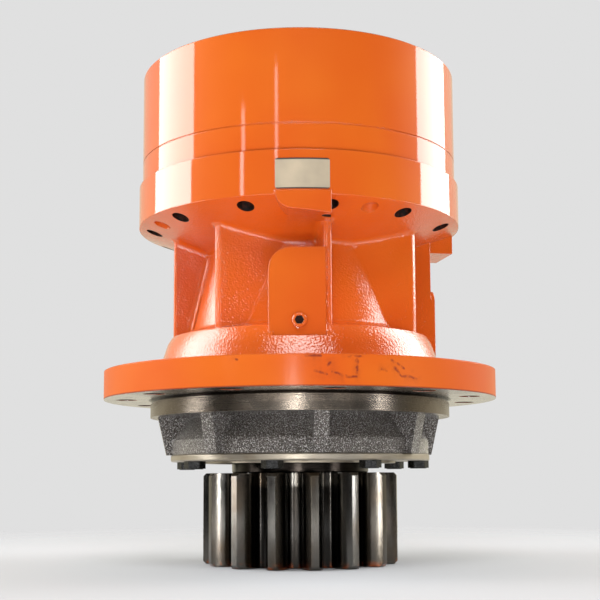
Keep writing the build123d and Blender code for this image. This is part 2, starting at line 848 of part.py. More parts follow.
# Bare plate, bent round the rim
with BuildPart() as data_plate:
    with BuildSketch(Plane.XY.offset(plate_bottom)):
        with BuildLine():
            inner = CenterArc((0, 0), rim_radius + fit_gap, plate_start - 90, plate_end - plate_start)
            outer = CenterArc(
                (0, 0), rim_radius + plate_thickness, plate_start - 90, plate_end - plate_start
            )
            Line(inner @ 0, outer @ 0)
            Line(inner @ 1, outer @ 1)
        make_face()
    extrude(amount=plate_height)
    corners = data_plate.edges().filter_by(lambda e: e.length < 2 * plate_thickness)
    fillet(corners, plate_corner)
write(data_plate.part, "data_plate")

# Level plug with a socket head
with BuildPart() as level_plug:
    with BuildSketch(facing_plane(0, pad_depth)):
        with Locations((0, plug_height)):
            Circle(plug_radius)
    extrude(amount=-plug_length)
    with BuildSketch(facing_plane(0, pad_depth)):
        with Locations((0, plug_height)):
            Circle(plug_head_radius)
    extrude(amount=plug_head_height)
    chamfer(level_plug.faces().sort_by(Axis.Y)[0].edges(), edge_chamfer)
    with BuildSketch(facing_plane(0, pad_depth + plug_head_height)):
        with Locations((0, plug_height)):
            RegularPolygon(plug_socket_flats / 2, 6, major_radius=False)
    extrude(amount=-plug_socket_depth, mode=Mode.SUBTRACT)
write(level_plug.part, "level_plug")

# Bearings of the output shaft
write(lower_bearing.cup(), "lower_bearing_cup")
write(lower_bearing.cone(), "lower_bearing_cone")
write(lower_bearing.roller_set(), "lower_bearing_rollers")
write(upper_bearing.cup(), "upper_bearing_cup")
write(upper_bearing.cone(), "upper_bearing_cone")
write(upper_bearing.roller_set(), "upper_bearing_rollers")

# Seal retainer: the ring under the nose, which also clamps the lower cup
with BuildPart() as seal_retainer:
    with BuildSketch(Plane.XZ):
        with BuildLine():
            Polyline(
                (retainer_radius, -nose_depth),
                (retainer_radius, retainer_bottom),
                (retainer_hub_radius, retainer_bottom),
                (retainer_hub_radius, retainer_bottom - retainer_hub_height),
                (seal_radius + fit_gap, retainer_bottom - retainer_hub_height),
                (seal_radius + fit_gap, seal_top),
                (retainer_lip_radius, seal_top),
                (retainer_lip_radius, seal_top + retainer_lip_thickness),
                (retainer_spigot_bore, seal_top + retainer_lip_thickness),
                (retainer_spigot_bore, lower_shoulder - lower_cup_width),
                (lower_outer_radius, lower_shoulder - lower_cup_width),
                (lower_outer_radius, -nose_depth),
                close=True,
            )
        make_face()
    revolve(axis=Axis.Z)
    rims = seal_retainer.edges().filter_by(GeomType.CIRCLE).filter_by(
        lambda e: abs(e.radius - retainer_radius) < fit_gap
    )
    chamfer(rims, edge_chamfer)
    with BuildSketch(Plane.XZ):
        with Locations((lower_outer_radius, retainer_cord_height)):
            Rectangle(2 * cord_groove_depth, cord_groove_width)
    revolve(axis=Axis.Z, mode=Mode.SUBTRACT)
    with BuildSketch(Plane.XY.offset(retainer_bottom)):
        with Locations(*retainer_points):
            Circle(retainer_bolt_radius + retainer_hole_gap)
    extrude(amount=retainer_thickness, mode=Mode.SUBTRACT)
write(seal_retainer.part, "seal_retainer")

with BuildPart() as retainer_o_ring:
    with BuildSketch(Plane.XZ):
        with Locations((lower_outer_radius - cord_groove_depth / 2, retainer_cord_height)):
            RegularPolygon(cord_radius, cord_facets)
    revolve(axis=Axis.Z)
write(retainer_o_ring.part, "retainer_o_ring")

# Hex bolts of the retainer, with chamfered heads
with BuildPart() as retainer_bolts:
    with BuildSketch(Plane.XY.offset(retainer_bottom)):
        with Locations(*retainer_points):
            Circle(retainer_bolt_radius)
    extrude(amount=retainer_thickness + retainer_bolt_grip)
    with BuildSketch(Plane.XY.offset(retainer_bottom)):
        with Locations(*retainer_points):
            RegularPolygon(retainer_head_flats / 2, 6, major_radius=False)
    extrude(amount=-retainer_head_height)
    with BuildSketch(Plane.XY.offset(retainer_bottom)):
        with Locations(*retainer_points):
            Circle(retainer_head_flats / 2 - 1)
    extrude(amount=-retainer_head_height - edge_chamfer / 2)
write(retainer_bolts.part, "retainer_bolts")

# Oil seal, with its lip on the sleeve
with BuildPart() as oil_seal:
    with BuildSketch(Plane.XZ):
        with BuildLine():
            Polyline(
                (seal_radius, seal_top - seal_width),
                (seal_radius, seal_top),
                (sleeve_radius + seal_lip_width, seal_top),
                (sleeve_radius + roller_gap, seal_top - seal_width / 2),
                (sleeve_radius + seal_lip_width, seal_top - seal_width),
                (sleeve_radius + 2 * seal_lip_width, seal_top - seal_width),
                (sleeve_radius + 2 * seal_lip_width, seal_top - seal_lip_width),
                (seal_radius - seal_lip_width, seal_top - seal_lip_width),
                (seal_radius - seal_lip_width, seal_top - seal_width),
                close=True,
            )
        make_face()
    revolve(axis=Axis.Z)
write(oil_seal.part, "oil_seal")

# Output pinion and shaft, in one piece
pinion_section = external_gear(
    pinion_module, pinion_teeth, pinion_shift, 0, pinion_root_radius, pinion_tip_radius, pinion_root_fillet
)
shaft_spline = spline_section(spline_teeth, spline_minor_radius, spline_major_radius)
with BuildPart() as pinion_shaft:
    with BuildSketch(Plane.XY.offset(pinion_bottom)):
        with PolarLocations(0, 1, start_angle=pinion_heading - 90):
            add(pinion_section)
    extrude(amount=pinion_top - pinion_bottom)
    with BuildSketch(Plane.XZ):
        with BuildLine():
            Polyline(
                (0, pinion_bottom),
                (pinion_tip_radius - pinion_chamfer, pinion_bottom),
                (pinion_tip_radius, pinion_bottom + pinion_chamfer),
                (pinion_tip_radius, pinion_top - pinion_chamfer),
                (pinion_tip_radius - pinion_chamfer, pinion_top),
                (0, pinion_top),
                close=True,
            )
        make_face()
    revolve(axis=Axis.Z, mode=Mode.INTERSECT)
    # Seats of the sleeve, the bearings, the nut and the carrier, from the pinion upwards
    with BuildSketch(Plane.XZ):
        with BuildLine():
            Polyline(
                (0, pinion_top - pinion_chamfer),
                (sleeve_seat_radius, pinion_top - pinion_chamfer),
                (sleeve_seat_radius, lower_cone_back),
                (lower_bore_radius - fit_gap, lower_cone_back),
                (lower_bore_radius - fit_gap, lower_shoulder + shoulder_thickness / 2),
                (shaft_waist_radius, lower_shoulder + shoulder_thickness),
                (shaft_waist_radius, upper_shoulder - shoulder_thickness),
                (upper_bore_radius - fit_gap, upper_shoulder),
                (upper_bore_radius - fit_gap, upper_cone_back - 1),
                (nut_thread_radius, upper_cone_back - 1),
                (nut_thread_radius, nut_bottom + nut_thickness),
                (spline_minor_radius, carrier_hub_bottom),
                (spline_minor_radius, end_plate_bottom - running_gap),
                (0, end_plate_bottom - running_gap),
                close=True,
            )
        make_face()
    revolve(axis=Axis.Z)
    with BuildSketch(Plane.XY.offset(carrier_hub_bottom)):
        add(shaft_spline)
    extrude(amount=end_plate_bottom - running_gap - carrier_hub_bottom)
    # Slot for the lock washer's inner tab
    with BuildSketch(Plane.XY.offset(upper_cone_back - 1)):
        with Locations((nut_thread_radius, 0)):
            Rectangle(2 * nut_slot_depth, nut_slot_width)
    extrude(amount=nut_bottom + nut_thickness - upper_cone_back + 1, mode=Mode.SUBTRACT)
    # Tapped holes for the end plate, and the turning centre in the pinion's end
    with BuildSketch(Plane.XY.offset(end_plate_bottom)):
        with PolarLocations(end_bolt_circle, end_bolt_count):
            Circle(end_bolt_radius + thread_gap)
    extrude(amount=-end_bolt_length, mode=Mode.SUBTRACT)
    with Locations((0, 0, pinion_bottom)):
        Cone(
            centre_hole_radius, 1, centre_hole_radius,
            align=(Align.CENTER, Align.CENTER, Align.MIN), mode=Mode.SUBTRACT,
        )
write(pinion_shaft.part, "pinion_shaft")

# Hardened sleeve between the pinion and the lower bearing
with BuildPart() as seal_sleeve:
    with BuildSketch(Plane.XY.offset(pinion_top)):
        Circle(sleeve_radius)
        Circle(sleeve_seat_radius + fit_gap, mode=Mode.SUBTRACT)
    extrude(amount=lower_cone_back - pinion_top)
    chamfer(seal_sleeve.edges().group_by(Axis.Z)[0].sort_by(SortBy.LENGTH)[-1], edge_chamfer)
write(seal_sleeve.part, "seal_sleeve")

# Lock washer and slotted nut that preload the bearings
with BuildPart() as nut_lock_washer:
    with BuildSketch(Plane.XY.offset(upper_cone_back)):
        Circle(nut_radius - nut_slot_depth)
        Circle(nut_thread_radius + thread_gap, mode=Mode.SUBTRACT)
        with Locations((nut_thread_radius - nut_slot_depth / 2, 0)):
            Rectangle(nut_slot_depth, nut_slot_width - 2 * running_gap)
        with PolarLocations(nut_radius - nut_slot_depth / 2, 1, start_angle=45):
            Rectangle(2 * nut_slot_depth, nut_slot_width - 2 * running_gap)
    extrude(amount=lock_washer_thickness)
    with BuildSketch(Plane.XY.offset(upper_cone_back)):
        with PolarLocations(nut_radius, 1, start_angle=45):
            Rectangle(nut_slot_depth, nut_slot_width - 2 * running_gap)
    extrude(amount=lock_washer_thickness + nut_thickness / 2)
write(nut_lock_washer.part, "nut_lock_washer")

with BuildPart() as bearing_nut:
    with BuildSketch(Plane.XY.offset(nut_bottom)):
        Circle(nut_radius)
        Circle(nut_thread_radius + thread_gap, mode=Mode.SUBTRACT)
        with PolarLocations(nut_radius, 4, start_angle=45):
            Rectangle(2 * nut_slot_depth, nut_slot_width, mode=Mode.SUBTRACT)
    extrude(amount=nut_thickness)
write(bearing_nut.part, "bearing_nut")

# Second carrier: one casting, with a pocket for each planet and the splined hub below
hub_spline = spline_section(spline_teeth, spline_minor_radius, spline_major_radius, thread_gap)
with BuildPart() as second_carrier:
    with BuildSketch(Plane.XZ):
        with BuildLine():
            Polyline(
                (0, carrier_hub_bottom),
                (carrier_hub_radius, carrier_hub_bottom),
                (carrier_hub_radius, carrier_plate_bottom),
                (carrier_radius, carrier_plate_bottom),
                (carrier_radius, carrier_top),
                (0, carrier_top),
                close=True,
            )
        make_face()
    revolve(axis=Axis.Z)
    with BuildSketch(Plane.XY.offset(pocket_floor)):
        with PolarLocations(second_centres, second_planet_count):
            Circle(second_tip_radius + pocket_gap)
    extrude(amount=pocket_ceiling - pocket_floor, mode=Mode.SUBTRACT)
    with BuildSketch(Plane.XY.offset(pocket_floor)):
        Circle(second_tip_radius + pocket_gap)
    extrude(amount=carrier_top - pocket_floor, mode=Mode.SUBTRACT)
    with BuildSketch(Plane.XY.offset(end_plate_bottom)):
        Circle(end_plate_radius + fit_gap)
    extrude(amount=pocket_floor - end_plate_bottom, mode=Mode.SUBTRACT)
    with BuildSketch(Plane.XY.offset(carrier_hub_bottom)):
        add(hub_spline)
    extrude(amount=end_plate_bottom - carrier_hub_bottom, mode=Mode.SUBTRACT)
    with BuildSketch(Plane.XY.offset(carrier_plate_bottom + pin_floor)):
        with PolarLocations(second_centres, second_planet_count):
            Circle(second_pin_radius + fit_gap)
    extrude(amount=carrier_top - carrier_plate_bottom - pin_floor, mode=Mode.SUBTRACT)
    for quarter in range(second_planet_count):
        with BuildSketch(facing_plane(90 * quarter, carrier_radius)):
            with Locations((0, lock_pin_height)):
                Circle(lock_pin_radius + fit_gap)
        extrude(amount=-lock_pin_length - 2, mode=Mode.SUBTRACT)
write(second_carrier.part, "second_carrier")

# Pins of the second planets, each crossed by the hole of its lock pin
with BuildPart() as second_planet_pins:
    with BuildSketch(Plane.XY.offset(carrier_plate_bottom + pin_floor)):
        with PolarLocations(second_centres, second_planet_count):
            Circle(second_pin_radius)
    extrude(amount=carrier_top - carrier_plate_bottom - pin_floor - 1)
    chamfer(second_planet_pins.edges().filter_by(GeomType.CIRCLE), edge_chamfer)
    for quarter in range(second_planet_count):
        with BuildSketch(facing_plane(90 * quarter, carrier_radius)):
            with Locations((0, lock_pin_height)):
                Circle(lock_pin_radius + fit_gap)
        extrude(amount=-lock_pin_length - 2, mode=Mode.SUBTRACT)
write(second_planet_pins.part, "second_planet_pins")

with BuildPart() as second_pin_locks:
    for quarter in range(second_planet_count):
        with BuildSketch(facing_plane(90 * quarter, carrier_radius - 1)):
            with Locations((0, lock_pin_height)):
                Circle(lock_pin_radius)
        extrude(amount=-lock_pin_length)
write(second_pin_locks.part, "second_pin_locks")

# End plate and its sunk screws, which hold the carrier on the shaft
with BuildPart() as carrier_end_plate:
    with BuildSketch(Plane.XY.offset(end_plate_bottom)):
        Circle(end_plate_radius)
        with PolarLocations(end_bolt_circle, end_bolt_count):
            Circle(end_bolt_radius + retainer_hole_gap, mode=Mode.SUBTRACT)
    extrude(amount=end_plate_thickness)
    with BuildSketch(Plane.XY.offset(end_plate_bottom + end_plate_thickness - end_bolt_head_height - 0.4)):
        with PolarLocations(end_bolt_circle, end_bolt_count):
            Circle(end_bolt_head_radius + retainer_hole_gap)
    extrude(amount=end_bolt_head_height + 0.4, mode=Mode.SUBTRACT)
write(carrier_end_plate.part, "carrier_end_plate")

with BuildPart() as end_plate_bolts:
    head_bottom = end_plate_bottom + end_plate_thickness - end_bolt_head_height - 0.4
    with BuildSketch(Plane.XY.offset(head_bottom)):
        with PolarLocations(end_bolt_circle, end_bolt_count):
            Circle(end_bolt_radius)
    extrude(amount=2 - end_bolt_length)
    with BuildSketch(Plane.XY.offset(head_bottom)):
        with PolarLocations(end_bolt_circle, end_bolt_count):
            Circle(end_bolt_head_radius)
    extrude(amount=end_bolt_head_height)
    with BuildSketch(Plane.XY.offset(head_bottom + end_bolt_head_height / 2)):
        with PolarLocations(end_bolt_circle, end_bolt_count):
            RegularPolygon(end_bolt_radius * 0.8, 6, major_radius=False)
    extrude(amount=end_bolt_head_height / 2, mode=Mode.SUBTRACT)
write(end_plate_bolts.part, "end_plate_bolts")

# Thrust washers above and below each second planet
with BuildPart() as second_thrust_washers:
    with BuildSketch(Plane.XY.offset(pocket_floor), Plane.XY.offset(second_washer_top)):
        with PolarLocations(second_centres, second_planet_count):
            Circle(second_root_radius - washer_rim)
            Circle(second_pin_radius + running_gap, mode=Mode.SUBTRACT)
    extrude(amount=washer_thickness)
write(second_thrust_washers.part, "second_thrust_washers")

# Second planets, turned so that they mesh with the ring gear, and their needle bearings
second_planet = planet_gear(second_planet_teeth, second_gear_width, second_bore_radius)
second_needles = needle_bearing(second_pin_radius, second_bore_radius, second_gear_width)
for number, place in enumerate(
    planet_places(second_centres, second_planet_count, second_planet_teeth, second_gear_bottom), start=1
):
    write(second_planet.moved(place), f"second_planet_{number}")
    write(second_needles.moved(place), f"second_needles_{number}")

# Second sun, whose teeth also hold the first carrier
second_sun_section = sun_section(second_sun_teeth, 0)
first_carrier_bore = sun_section(second_sun_teeth, thread_gap)
with BuildPart() as second_sun:
    with BuildSketch(Plane.XY.offset(second_sun_bottom)):
        add(second_sun_section)
        Circle(sun_bore_radius, mode=Mode.SUBTRACT)
    extrude(amount=first_carrier_top - second_sun_bottom)
write(second_sun.part, "second_sun")

# First carrier: a plate with overhung pins, scalloped between them
with BuildPart() as first_carrier:
    with BuildSketch(Plane.XY.offset(first_carrier_bottom)):
        Circle(first_carrier_radius)
        with PolarLocations(scallop_centre, first_planet_count, start_angle=180 / first_planet_count):
            Circle(scallop_radius, mode=Mode.SUBTRACT)
        with PolarLocations(first_centres, first_planet_count):
            Circle(first_pin_radius + fit_gap, mode=Mode.SUBTRACT)
        add(first_carrier_bore, mode=Mode.SUBTRACT)
    extrude(amount=first_carrier_thickness)
write(first_carrier.part, "first_carrier")

with BuildPart() as first_planet_pins:
    with BuildSketch(Plane.XY.offset(first_carrier_bottom)):
        with PolarLocations(first_centres, first_planet_count):
            Circle(first_pin_radius)
    extrude(amount=first_pin_top - first_carrier_bottom)
    chamfer(first_planet_pins.edges().filter_by(GeomType.CIRCLE).group_by(Axis.Z)[-1], edge_chamfer / 2)
    with BuildSketch(Plane.XY.offset(circlip_bottom)):
        with PolarLocations(first_centres, first_planet_count):
            Circle(first_pin_radius + 1)
            Circle(first_pin_radius - circlip_depth, mode=Mode.SUBTRACT)
    extrude(amount=circlip_thickness + fit_gap, mode=Mode.SUBTRACT)
write(first_planet_pins.part, "first_planet_pins")

with BuildPart() as first_pin_circlips:
    with BuildSketch(Plane.XY.offset(circlip_bottom)):
        with PolarLocations(first_centres, first_planet_count):
            Circle(first_pin_radius + 2 * circlip_depth)
            Circle(first_pin_radius - circlip_depth + fit_gap, mode=Mode.SUBTRACT)
        with PolarLocations(first_centres + first_pin_radius, first_planet_count):
            Rectangle(4 * circlip_depth, 4 * circlip_depth, mode=Mode.SUBTRACT)
    extrude(amount=circlip_thickness)
write(first_pin_circlips.part, "first_pin_circlips")

with BuildPart() as first_thrust_washers:
    with BuildSketch(Plane.XY.offset(first_carrier_top), Plane.XY.offset(first_washer_top)):
        with PolarLocations(first_centres, first_planet_count):
            Circle(first_root_radius - washer_rim)
            Circle(first_pin_radius + running_gap, mode=Mode.SUBTRACT)
    extrude(amount=washer_thickness)
write(first_thrust_washers.part, "first_thrust_washers")

# First planets and their needle bearings
first_planet = planet_gear(first_planet_teeth, first_gear_width, first_bore_radius)
first_needles = needle_bearing(first_pin_radius, first_bore_radius, first_gear_width)
for number, place in enumerate(
    planet_places(first_centres, first_planet_count, first_planet_teeth, first_gear_bottom), start=1
):
    write(first_planet.moved(place), f"first_planet_{number}")
    write(first_needles.moved(place), f"first_needles_{number}")

# Thrust ring on the second sun, and the first sun with the motor's spline in its bore
with BuildPart() as sun_thrust_ring:
    with BuildSketch(Plane.XY.offset(first_carrier_top)):
        Circle(thrust_ring_radius)
        Circle(thrust_ring_bore, mode=Mode.SUBTRACT)
    extrude(amount=washer_thickness)
write(sun_thrust_ring.part, "sun_thrust_ring")

first_sun_section = sun_section(first_sun_teeth, 0)
motor_spline = spline_section(motor_spline_teeth, motor_spline_minor, motor_spline_major)
with BuildPart() as first_sun:
    with BuildSketch(Plane.XY.offset(first_gear_bottom)):
        with PolarLocations(0, 1, start_angle=180 / first_sun_teeth):
            add(first_sun_section)
        add(motor_spline, mode=Mode.SUBTRACT)
    extrude(amount=recess_floor - sun_top_gap - first_gear_bottom)
write(first_sun.part, "first_sun")
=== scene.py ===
import bpy
import json
from math import cos, pi, radians, sin
from mathutils import Matrix, Vector

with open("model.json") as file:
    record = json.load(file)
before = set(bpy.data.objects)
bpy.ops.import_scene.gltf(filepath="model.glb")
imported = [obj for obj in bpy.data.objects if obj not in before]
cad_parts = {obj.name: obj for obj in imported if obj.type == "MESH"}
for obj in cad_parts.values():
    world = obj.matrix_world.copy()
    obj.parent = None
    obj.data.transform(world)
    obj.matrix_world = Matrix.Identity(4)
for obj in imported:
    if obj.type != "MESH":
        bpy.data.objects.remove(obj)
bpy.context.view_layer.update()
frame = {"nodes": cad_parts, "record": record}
nodes = frame["nodes"]

# Where the finishes change on the object, in metres. Its axis is Z, and its front faces -Y. The flange's
# underside is at height 0, and each hole's size is its radius
FLANGE_RADIUS = 0.209
FLANGE_TOP = 0.0295
FLANGE_BOLT_CIRCLE = 0.185
FLANGE_HOLE = 0.0112
SPIGOT_RADIUS = 0.160
SPIGOT_BOTTOM = -0.0185
SPIGOT_INNER = 0.15075
RIM_BOTTOM = 0.185
RIM_RADIUS = 0.1736
RIM_BOLT_CIRCLE = 0.1575
RIM_HOLE = 0.0085
RIM_HOLE_MOUTH = 0.1685
JOINT = 0.2286
RING_TOP = 0.350
RING_RECESS = 0.1425
PAD_FACE = 0.140
PAD_BOTTOM = 0.054
PAD_TOP = 0.1415
LUG_BOTTOM = 0.1485
PLUG_HEIGHT = 0.069
PLUG_SOCKET = 0.004
PLATE_BOTTOM = 0.191
PLATE_TOP = 0.2181
PINION_ROOT = 0.088
# Top of the painted shade in the roots of the pinion's teeth
ROOT_SHADE_TOP = -0.090
PINION_BOTTOM = -0.172
FLOOR = PINION_BOTTOM - 0.0005
# Heading of the mould's parting plane
PARTING = radians(12)
# A finish that belongs to an outer radius starts this far inside it
SKIN = 0.0008

# How a pattern is stretched along X, Y and Z: not at all
ALIKE = (1, 1, 1)


def rgb(red, green, blue):
    return red, green, blue, 1


class Nodes:
    """Short calls that add nodes to one node tree."""

    def __init__(self, tree):
        self.tree = tree
        tree.nodes.clear()

    def add(self, kind, *values, **named):
        """A node: values fill its inputs in order, named values its inputs or its settings."""
        node = self.tree.nodes.new(kind)
        for key, value in named.items():
            if key in node.inputs:
                self.join(value, node.inputs[key])
            else:
                setattr(node, key, value)
        for socket, value in zip(node.inputs, values):
            self.join(value, socket)
        return node

    def join(self, value, socket):
        if isinstance(value, bpy.types.NodeSocket):
            self.tree.links.new(value, socket)
        else:
            socket.default_value = value

    def math(self, operation, *values):
        return self.add("ShaderNodeMath", *values, operation=operation).outputs[0]

    def fold(self, operation, first, *others):
        for other in others:
            first = self.math(operation, first, other)
        return first

    def product(self, *values):
        return self.fold("MULTIPLY", *values)

    def largest(self, *values):
        return self.fold("MAXIMUM", *values)

    def smallest(self, *values):
        return self.fold("MINIMUM", *values)

    def total(self, base, *parts):
        """The base and each (value, weight) pair's product, added up."""
        for value, weight in parts:
            base = self.math("ADD", self.product(value, weight), base)
        return base

    def step(self, value, low, high, least=0.0, most=1.0):
        """least below low, most above high and a ramp between; low above high turns it round."""
        ends = {"From Min": low, "From Max": high, "To Min": least, "To Max": most}
        return self.add("ShaderNodeMapRange", Value=value, **ends).outputs[0]

    def above(self, value, level, blur):
        """1 above the level and 0 below it, blurred by so much to each side."""
        return self.step(value, level - blur, level + blur)

    def below(self, value, level, blur):
        return self.step(value, level + blur, level - blur)

    def vector_length(self, vector):
        return self.add("ShaderNodeVectorMath", vector, operation="LENGTH").outputs["Value"]


class Finish(Nodes):
    """One node material, with the object's own coordinates and the patterns that the finishes share."""

    def __init__(self, name):
        self.material = bpy.data.materials.new(name)
        self.material.use_nodes = True
        super().__init__(self.material.node_tree)
        self.output = self.add("ShaderNodeOutputMaterial")
        self.place = self.add("ShaderNodeTexCoord").outputs["Object"]
        self.x, self.y, self.z = self.add("ShaderNodeSeparateXYZ", Vector=self.place).outputs
        self.ahead = self.product(self.y, -1.0)
        flat = self.add("ShaderNodeVectorMath", self.place, (1, 1, 0), operation="MULTIPLY")
        self.radius = self.vector_length(flat.outputs[0])
        self.heading = self.math("ARCTAN2", self.x, self.ahead)

    def point(self, x, y):
        return self.add("ShaderNodeCombineXYZ", x, y, 0.0).outputs[0]

    def from_holes(self, circle, count, *headings):
        """Distance, seen from above, to the nearest axis of the holes on a bolt circle.

        Each heading in degrees starts a set of count holes, evenly spaced.
        """
        out = self.math("SUBTRACT", self.radius, circle)
        gaps = []
        for first in headings:
            turn = self.math("SUBTRACT", self.heading, radians(first))
            turn = self.math("WRAP", turn, pi / count, -pi / count)
            gaps.append(self.vector_length(self.point(self.product(turn, circle), out)))
        return self.smallest(*gaps)

    def noise(self, scale, detail=3.0, stretch=ALIKE):
        vector = self.add("ShaderNodeVectorMath", self.place, stretch, operation="MULTIPLY").outputs[0]
        return self.add("ShaderNodeTexNoise", Vector=vector, Scale=scale, Detail=detail).outputs["Fac"]

    def waver(self, width, scale, detail, stretch=ALIKE):
        """Noise round 0 that is so wide in all."""
        return self.product(self.math("SUBTRACT", self.noise(scale, detail, stretch), 0.5), width)

    def sand(self, scale, detail, weight, cells):
        """Height of a sand casting's grain, in its own unit."""
        grains = self.add("ShaderNodeTexVoronoi", Vector=self.place, Scale=cells, feature="SMOOTH_F1")
        return self.total(0.0, (self.noise(scale, detail), weight), (grains.outputs["Distance"], 0.9))

    def mix(self, factor, first, second):
        """Blend of two colours."""
        node = self.add("ShaderNodeMix", data_type="RGBA")
        self.join(factor, node.inputs["Factor"])
        first_color, second_color = node.inputs[6:8]
        self.join(first, first_color)
        self.join(second, second_color)
        return node.outputs[2]

    def bump(self, height, distance, strength=1.0, normal=None):
        node = self.add("ShaderNodeBump", Height=height, Distance=distance, Strength=strength)
        if normal is not None:
            self.join(normal, node.inputs["Normal"])
        return node.outputs["Normal"]

    def soft_edges(self, radius):
        return self.add("ShaderNodeBevel", Radius=radius, samples=4).outputs["Normal"]

    def surface(self, **values):
        """Principled shader with these inputs."""
        shader = self.add("ShaderNodeBsdfPrincipled")
        for key, value in values.items():
            self.join(value, shader.inputs[key.replace("_", " ")])
        return shader.outputs[0]

    def mix_shaders(self, factor, first, second):
        return self.add("ShaderNodeMixShader", factor, first, second).outputs[0]

    def finish(self, shader):
        self.join(shader, self.output.inputs["Surface"])
        return self.material


ORANGE = rgb(0.625, 0.120, 0.010)
DEEP_ORANGE = rgb(0.585, 0.088, 0.008)
CAST_ORANGE = rgb(0.665, 0.121, 0.011)
DEEP_CAST_ORANGE = rgb(0.62, 0.092, 0.008)
# Dark colour of the flange's scuffs, also used as painted shade on its lower chamfer
SCUFF_AND_SHADE = rgb(0.24, 0.036, 0.014)
IRON = rgb(0.090, 0.075, 0.065)
DEEP_IRON = rgb(0.050, 0.040, 0.032)
# Pale colour of the painted glints on bare iron
IRON_PAINTED_GLINT = rgb(0.62, 0.59, 0.57)


def paint_shader(f, cast, dirt_and_shade=0.0, ridge=0.0, gloss=1.0, coat_roughness=0.05, coat_ior=1.6, edge=0.0012):
    """Orange enamel: cast is 1 where the casting's grain shows through it, and the third argument 1 where the
    enamel is scuffed or darkened as painted shade.
    """
    shade = f.step(f.noise(9, 2), 0.35, 0.7)
    color = f.mix(cast, f.mix(shade, ORANGE, DEEP_ORANGE), f.mix(shade, CAST_ORANGE, DEEP_CAST_ORANGE))
    color = f.mix(dirt_and_shade, color, SCUFF_AND_SHADE)
    orange_peel = f.product(f.noise(700, 2), 0.03)
    height = f.total(orange_peel, (f.sand(560, 3, 0.8, 500), cast), (1.0, ridge))
    edges = f.soft_edges(edge)
    even = 0.55
    patches = f.math("SUBTRACT", f.step(f.noise(60, 4), -0.5, 1.6), even)
    return f.surface(
        Base_Color=color, Roughness=f.total(even, (patches, cast)),
        Normal=f.bump(height, 0.0002, 1.0, edges), IOR=1.5, Specular_IOR_Level=0.08,
        Coat_Weight=gloss, Coat_Roughness=coat_roughness, Coat_IOR=coat_ior,
        Coat_Normal=f.bump(height, 0.00034, 1.0, edges),
    )


def turned_shader(f, color, dark, roughness=0.28, rings=1800.0, anisotropic=0.6):
    """Turned steel: fine grooves round the axis, as fine as rings says, and a little oil on it."""
    across_the_rings = f.point(f.math("ADD", f.radius, f.z), 0.0)
    groove = f.add("ShaderNodeTexNoise", Vector=across_the_rings, Scale=rings, Detail=2.0).outputs["Fac"]
    stain = f.noise(35, 4)
    usually_added = 0.17
    return f.surface(
        Base_Color=f.mix(f.step(stain, 0.38, 0.75), color, dark), Metallic=1.0,
        Roughness=f.total(roughness - usually_added, (groove, 0.15), (stain, 0.2)),
        Normal=f.bump(groove, 0.00012, 0.6, f.soft_edges(0.0006)),
        Anisotropic=anisotropic, Anisotropic_Rotation=0.25,
        Tangent=f.add("ShaderNodeTangent", direction_type="RADIAL", axis="Z").outputs[0],
    )


def cast_shader(f):
    """Bare cast iron with its sand grain, dark and wet with oil, and glittering: the glints are pale specks
    painted into its colour.
    """
    stain = f.step(f.noise(18, 4), 0.35, 0.7)
    # Painted glints: pale specks in the iron's colour stand in for light caught by wet grains
    painted_glint = f.step(f.noise(900, 2), 0.52, 0.66)
    color = f.mix(painted_glint, f.mix(stain, IRON, DEEP_IRON), IRON_PAINTED_GLINT)
    normal = f.bump(f.sand(650, 4, 0.9, 700), 0.0016, 1.0, f.soft_edges(0.004))
    return f.surface(
        Base_Color=color, Metallic=0.5, Roughness=f.total(0.22, (f.noise(150, 3), 0.2)), Normal=normal,
        Coat_Weight=1.0, Coat_Roughness=0.06, Coat_Normal=normal,
    )


# Dark scuffs on the flange's edge: heading in degrees and height in millimetres of both ends
SCUFFS = [
    (3.5, 14.2, 6.6, 10.6), (8.2, 12.6, 12.2, 8.2), (12.2, 8.2, 14.3, 8.9), (14.4, 24.5, 14.3, 8.9),
    (1.5, 27.4, 5.4, 27.3), (12.1, 27.2, 15.3, 27.0), (7.5, 21.0, 6.9, 18.6), (21.0, 15.8, 22.3, 14.8),
    (23.7, 24.6, 27.2, 17.6), (24.7, 17.8, 26.6, 9.8), (26.6, 9.8, 28.7, 10.5), (28.7, 10.5, 31.0, 8.2),
    (-16.0, 24.8, -15.8, 24.9),
]


def from_scuffs(f):
    """Distance to the nearest scuff, on the flange's edge rolled out flat."""
    across = f.math("ADD", f.product(f.heading, FLANGE_RADIUS), f.waver(0.0045, 260, 3))
    point = f.point(across, f.z)
    gaps = []
    for first, low, last, high in SCUFFS:
        start = Vector((radians(first) * FLANGE_RADIUS, low / 1000, 0))
        along = Vector((radians(last) * FLANGE_RADIUS, high / 1000, 0)) - start
        from_start = f.add("ShaderNodeVectorMath", point, tuple(start), operation="SUBTRACT").outputs[0]
        share = f.add("ShaderNodeVectorMath", from_start, tuple(along / along.length_squared),
                      operation="DOT_PRODUCT").outputs["Value"]
        on_scuff = f.step(share, 0.0, 1.0)
        reach = f.add("ShaderNodeVectorMath", tuple(along), operation="SCALE", Scale=on_scuff)
        gap = f.add("ShaderNodeVectorMath", from_start, reach.outputs[0], operation="DISTANCE")
        gaps.append(gap.outputs["Value"])
    return f.smallest(*gaps)


